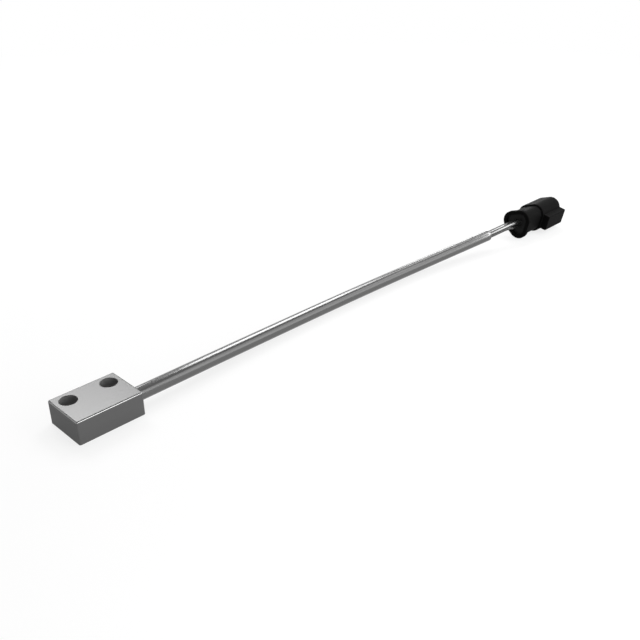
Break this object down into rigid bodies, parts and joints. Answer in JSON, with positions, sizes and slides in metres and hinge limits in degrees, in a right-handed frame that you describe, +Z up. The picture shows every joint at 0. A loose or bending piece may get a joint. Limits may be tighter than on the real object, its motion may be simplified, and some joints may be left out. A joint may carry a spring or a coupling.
{
  "type": "magnetic proximity switch",
  "caption": "Magnetic proximity switch: a drilled metal sensor block with counterbored screw holes, a jacketed lead and a sealed three-cornered receptacle at the lead's end.",
  "frame": {"origin": "middle of the head's flat underside", "axes": "+X along the head's length towards its cable end, +Y towards the side with the screw holes, +Z up out of the counterbored face"},
  "size_m": [0.4284, 0.0471, 0.023],
  "materials": {
    "housing_metal": "machined, fine brushed lines, edges broken",
    "board_laminate": "solder mask on glass laminate",
    "package_black": "moulded package",
    "capacitor_ceramic": "fired ceramic",
    "resin": "cast, slightly domed look",
    "jacket": "silver-grey, smooth extruded",
    "insulation": "pale, smooth extruded",
    "copper": "bare stranded copper",
    "shell_black": "moulded, fine satin grain",
    "seal_rubber": "moulded, matte",
    "contact_plated": "turned copper alloy, nickel plated",
    "wedge_grey": "moulded"
  },
  "bodies": {
    "root": {"sensor_housing": "housing_metal", "circuit_board": "board_laminate", "hall_sensor": "package_black", "pull_up_resistor": "package_black", "bypass_capacitor": "capacitor_ceramic", "protection_diode": "package_black", "potting_compound": "resin", "cable_jacket": "jacket", "supply_wire": "insulation", "ground_wire": "insulation", "signal_wire": "insulation", "supply_conductor": "copper", "ground_conductor": "copper", "signal_conductor": "copper", "connector_shell": "shell_black", "rear_wire_seal": "seal_rubber", "supply_contact": "contact_plated", "ground_contact": "contact_plated", "signal_contact": "contact_plated", "wedge_lock": "wedge_grey"}
  },
  "joints": []
}
